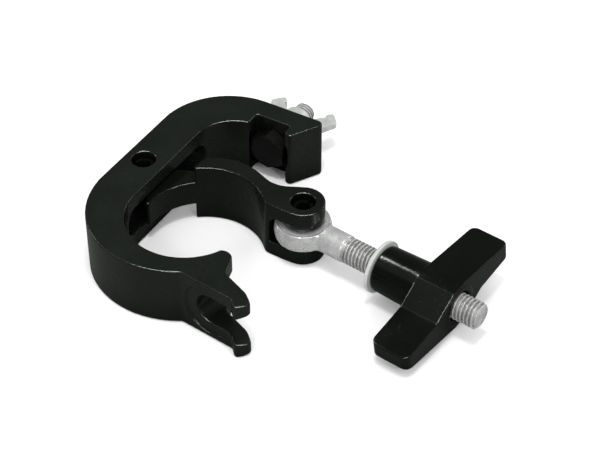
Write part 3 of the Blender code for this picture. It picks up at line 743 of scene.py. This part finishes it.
def make_handle():
    low, high = WING_AT
    tilted = BOLT_FRAME @ Matrix.Rotation(math.radians(WING_TILT), 4, "Z")
    handle = plate("handle_casting", wing_outline(), (high - low) / 2, tilted)
    handle.data.transform(at(0, 0, sum(WING_AT) / 2))
    # the wings' broad side: a rectangle with round corners
    ends = (low + 0.002, high - 0.002)
    plan = rounded([(-WING_HALF, ends[0], WING_CORNER), (WING_HALF, ends[0], WING_CORNER),
                    (WING_HALF, ends[1], WING_CORNER), (-WING_HALF, ends[1], WING_CORNER)],
                   9, closed=True)
    plan_frame = tilted @ Matrix(((1, 0, 0, 0), (0, 0, -1, 0), (0, 1, 0, 0), (0, 0, 0, 1)))
    boolean(handle, plate("wing_plan", plan, 16.0, plan_frame), "INTERSECT")
    hub = [(0.0, high + 0.3), (8.9, high + 0.3), (9.6, high + 0.05), (10.1, high - 0.6),
           (10.5, high - 2.0), (HUB_R1, low)]
    hub += [polar((HUB_R0 - 0.7, HUB_AT + 0.75), 0.75, -a) for a in (0, 22, 45, 68, 90)]
    hub.append((0.0, HUB_AT))
    boolean(handle, turned("handle_hub", hub, BOLT_FRAME, steps=120), "UNION")
    insert_end = HUB_AT + INSERT_LEN + INSERT_ROOM
    bore = [(0.0, 100.0), (HANDLE_BORE_R + 15.0, 100.0), (HANDLE_BORE_R + 0.6, high + 0.3),
            (HANDLE_BORE_R, high - 0.4), (HANDLE_BORE_R, insert_end),
            (INSERT_R + 0.25, insert_end), (INSERT_R + 0.25, HUB_AT - 8), (0.0, HUB_AT - 8)]
    boolean(handle, turned("handle_bore", bore, BOLT_FRAME))
    show(cast(handle, voxel=0.28, passes=5, keep=0.45), handle_look, "handle", "handle",
         glints=grip)


def make_insert():
    top = HUB_AT + 0.4 + INSERT_LEN
    profile = [(6.2, top), (INSERT_R - 0.5, top), (INSERT_R, HUB_AT + INSERT_LEN),
               (INSERT_R, HUB_AT + 1.0), (INSERT_R - 0.5, HUB_AT + 0.5),
               (6.5, HUB_AT + 0.5), (6.2, HUB_AT + 0.8)]
    insert = turned("insert_sleeve", profile, BOLT_FRAME, closed=True)
    show(bake(insert), insert_look, "handle", "handle_thread_insert")


# --------------------------------------------------------- mounting hardware
def make_mount_screw():
    corner_r = HEAD_FLATS / 2 / math.cos(math.radians(30))
    hexagon = [polar((0, 0), corner_r, 60 * i + 30) for i in range(6)]
    head = plate("mount_screw_head", hexagon, HEAD_H / 2,
                 at(MOUNT_X, HEAD_TOP - HEAD_H / 2, 0, ALONG_Y))
    base = HEAD_TOP - HEAD_H
    chamfer = [(0.0, HEAD_TOP + 0.1), (8.9, HEAD_TOP + 0.1), (9.4, HEAD_TOP - 0.3),
               (9.6, HEAD_TOP - 1.0), (9.6, base + 1.05), (7.8, base), (0.0, base - 0.01)]
    boolean(head, turned("head_chamfer", chamfer, MOUNT_FRAME), "INTERSECT")
    show(bake(head), head_painted_shade_look, "clamp_frame", "mount_bolt")
    screw = thread("mount_screw_thread", MOUNT_R, 1.5, HEAD_TOP - 1.0, MOUNT_END, MOUNT_FRAME,
                   fade_from=2.0, tip_cut=1.0)
    show(bake(screw, 60, False), hardware_look, "clamp_frame", None)


def make_flat_washer():
    low, high = FLAT_WASHER_Y
    profile = [(MOUNT_WASHER_BORE, high)] + rim(FLAT_WASHER_R, low, high, 0.3, (0.08, 0.08))
    profile.append((MOUNT_WASHER_BORE, low))
    washer = turned("mount_washer_ring", profile, MOUNT_FRAME, closed=True)
    show(bake(washer), hardware_look, "mount_washer", "mount_flat_washer")


def make_spring_washer():
    """A split ring of square wire, its ends a little apart."""
    gap, rise, steps, cut = 14, 0.3, 88, 0.22
    inner, outer = MOUNT_WASHER_BORE, SPRING_R
    start = 90 + gap / 2 - 25
    verts, faces = [], []
    for i in range(steps + 1):
        turn = i / steps
        angle = math.radians(start + (360 - gap) * turn)
        lift = rise * (turn - 0.5)
        low, high = SPRING_Y[0] + max(0.0, lift), SPRING_Y[1] + min(0.0, lift)
        section = [(inner, low + cut), (inner + cut, low), (outer - cut, low), (outer, low + cut),
                   (outer, high - cut), (outer - cut, high), (inner + cut, high),
                   (inner, high - cut)]
        verts += [(r * math.cos(angle) * MM, r * math.sin(angle) * MM, z * MM)
                  for r, z in section]
    for i in range(0, steps * 8, 8):
        for j in range(8):
            k = (j + 1) % 8
            faces.append((i + j, i + 8 + j, i + 8 + k, i + k))
    faces.append(tuple(range(8)))
    faces.append(tuple(steps * 8 + j for j in reversed(range(8))))
    mesh = bpy.data.meshes.new("mount_spring_ring")
    mesh.from_pydata(verts, [], faces)
    bm = bmesh.new()
    bm.from_mesh(mesh)
    bmesh.ops.recalc_face_normals(bm, faces=bm.faces)
    bm.to_mesh(mesh)
    bm.free()
    ring = new_object("mount_spring_ring", mesh, MOUNT_FRAME)
    show(bake(ring), hardware_look, "wing_nut_carriage", "mount_spring_washer")


def make_wing_nut():
    y = WING_NUT_Y
    top = y + WING_NUT_H
    profile = [(0.0, top), (5.9, top), (6.3, y + 7.25), (6.6, y + 6.8), (7.9, y + 0.7),
               (7.8, y + 0.3), (7.5, y), (0.0, y)]
    nut = turned("wing_nut_casting", profile, MOUNT_FRAME)
    wing = rounded([(3.0, y + 1.0, 0), (12.8, y + 3.2, 1.6), (17.6, y + 11.4, 1.5),
                    (12.4, y + 17.2, 1.5), (8.0, y + 9.4, 3.0), (3.0, y + 7.0, 0)], 10)
    blade = wing + [(-px, py) for px, py in reversed(wing)]
    boolean(nut, plate("nut_wings", blade, 1.6, at(MOUNT_X, 0, 0)), "UNION")
    boolean(nut, chamfered_hole("nut_bore", 5.2, (y, top), 0.6, MOUNT_FRAME))
    show(cast(nut, voxel=0.25, passes=7, keep=0.5), nut_look, "wing_nut", "mount_wing_nut")


make_body()
make_jaw()
make_roll_pin("arm_roll_pin", PIVOT, 200, "clamp_frame", "arm_pivot_pin")
make_roll_pin("eye_roll_pin", EYE, 75, "jaw", "eye_pivot_pin")
make_swing_bolt()
make_thrust_washer()
make_handle()
make_insert()
make_mount_screw()
make_flat_washer()
make_spring_washer()
make_wing_nut()


# -------------------------------------------------------------------- studio
def make_floor():
    mesh = bpy.data.meshes.new("studio_floor")
    bm = bmesh.new()
    bmesh.ops.create_grid(bm, x_segments=2, y_segments=2, size=6.0)
    bm.to_mesh(mesh)
    bm.free()
    floor = new_object("studio_floor", mesh)
    floor.location.z = -0.0002
    material, tree, shader = new_material("look_floor")
    cloud = noise(tree, geometry(tree)["Position"], 5.0, scale=3.0, detail=3.0, rough=0.5)
    pale = ramp(tree, cloud, (0.3, 0.93), (0.7, 0.96))
    # reflections see a dark floor
    glossy = tree.nodes.new("ShaderNodeLightPath").outputs["Is Glossy Ray"]
    feed(tree, shader.inputs["Base Color"], mixed(tree, glossy, pale, (0.13, 0.14, 0.13)))
    shader.inputs["Roughness"].default_value = 0.9
    shader.inputs["Specular IOR Level"].default_value = 0.1
    mesh.materials.append(material)


def make_world():
    """White surroundings that reflections see as dark."""
    # the loaded scene may have no world or background node yet
    world = bpy.context.scene.world or bpy.data.worlds.new("studio")
    bpy.context.scene.world = world
    world.use_nodes = True
    tree = world.node_tree
    background = tree.nodes.get("Background") or tree.nodes.new("ShaderNodeBackground")
    glossy = tree.nodes.new("ShaderNodeLightPath").outputs["Is Glossy Ray"]
    colour = mixed(tree, glossy, (1.0, 1.0, 1.0), (0.15, 0.165, 0.15))
    feed(tree, background.inputs["Color"], colour)
    background.inputs["Strength"].default_value = 0.85


def softbox(name, place, target, width, height, energy, colour=(1, 1, 1), glints=None,
            rotation=None):
    """An area light; with glints it gives only highlights, on that collection."""
    data = bpy.data.lights.new(name, "AREA")
    data.shape = "RECTANGLE"
    data.size = width
    data.size_y = height
    data.energy = energy
    data.color = colour
    light = new_object(name, data)
    light.location = place
    light.rotation_mode = "QUATERNION"
    if rotation is None:
        rotation = (Vector(place) - Vector(target)).to_track_quat("Z", "Y")
    light.rotation_quaternion = rotation
    if glints is not None:
        light.visible_diffuse = False
        light.light_linking.receiver_collection = glints


CENTRE = (0, 0, 0)
GLINT_COLOUR = (0.95, 1.0, 0.95)
# name, place, target, width, height, watts
SOFTBOXES = [
    ("top", (0.05, -0.15, 1.15), CENTRE, 0.22, 0.22, 4.4),
    ("front", (0.28, -1.0, 0.72), CENTRE, 0.18, 0.22, 3.2),
    ("right", (0.95, -0.45, 0.75), (0.02, 0, 0), 0.16, 0.2, 2.2),
    ("back", (0.55, 0.95, 0.55), (0.02, 0, 0), 0.7, 0.14, 2.6),
    ("left", (-1.1, -0.15, 0.55), CENTRE, 0.12, 0.5, 2.0),
]
HANDLE_GLINTS = [
    ("glint_crown", (-0.55, 0.07, 0.98), CENTRE, 0.13, 0.13, 3.6),
    ("glint_tip", (0.58, -0.46, 0.88), CENTRE, 0.22, 0.22, 8.0),
    ("glint_step", (-0.98, -0.02, 0.58), CENTRE, 0.14, 0.4, 7.0),
    ("glint_near", (0.26, -0.62, 0.96), CENTRE, 0.2, 0.12, 6.0),
]
AZIMUTH, ELEVATION = math.radians(30.5), math.radians(41.03)    # of the view
ACROSS = Vector((math.cos(AZIMUTH), math.sin(AZIMUTH), 0))      # the view's right


def make_strip():
    """A long strip overhead, square to the view, that draws lines on the coated edges."""
    toward = Vector((math.sin(AZIMUTH), -math.cos(AZIMUTH), 0.0))
    place = toward * 0.34 + Vector((0, 0, 1.1))
    facing = place.normalized()
    axes = Matrix((ACROSS, facing.cross(ACROSS), facing)).transposed()
    softbox("strip_castings", place, CENTRE, width=1.5, height=0.22, energy=42.0,
            colour=GLINT_COLOUR, glints=coated, rotation=axes.to_quaternion())


def make_camera():
    data = bpy.data.cameras.new("photo_camera")
    data.lens = 105.12
    data.sensor_width = 36.0
    data.sensor_fit = "HORIZONTAL"
    data.clip_start = 0.01
    data.clip_end = 50
    camera = new_object("photo_camera", data)
    distance, roll = 0.7496, 0.0028
    back = Vector((math.sin(AZIMUTH) * math.cos(ELEVATION),
                   -math.cos(AZIMUTH) * math.cos(ELEVATION), math.sin(ELEVATION)))
    target = Vector((0.03583, 0.03249, 0.0)) + SHIFT
    axes = Matrix((ACROSS, back.cross(ACROSS), back)).transposed().to_4x4()
    camera.matrix_world = (Matrix.Translation(target + back * distance) @ axes
                           @ Matrix.Rotation(roll, 4, "Z"))
    bpy.context.scene.camera = camera


make_floor()
make_world()
for entry in SOFTBOXES:
    softbox(*entry)
softbox("bounce", (-0.62, -0.38, 1.0), (0.03, -0.02, 0), width=0.7, height=0.7, energy=0.40,
        colour=(0.85, 1.0, 0.85))
make_strip()
for entry in HANDLE_GLINTS:
    softbox(*entry, colour=GLINT_COLOUR, glints=grip)
make_camera()
bpy.context.scene.view_settings.view_transform = "Standard"

settle()
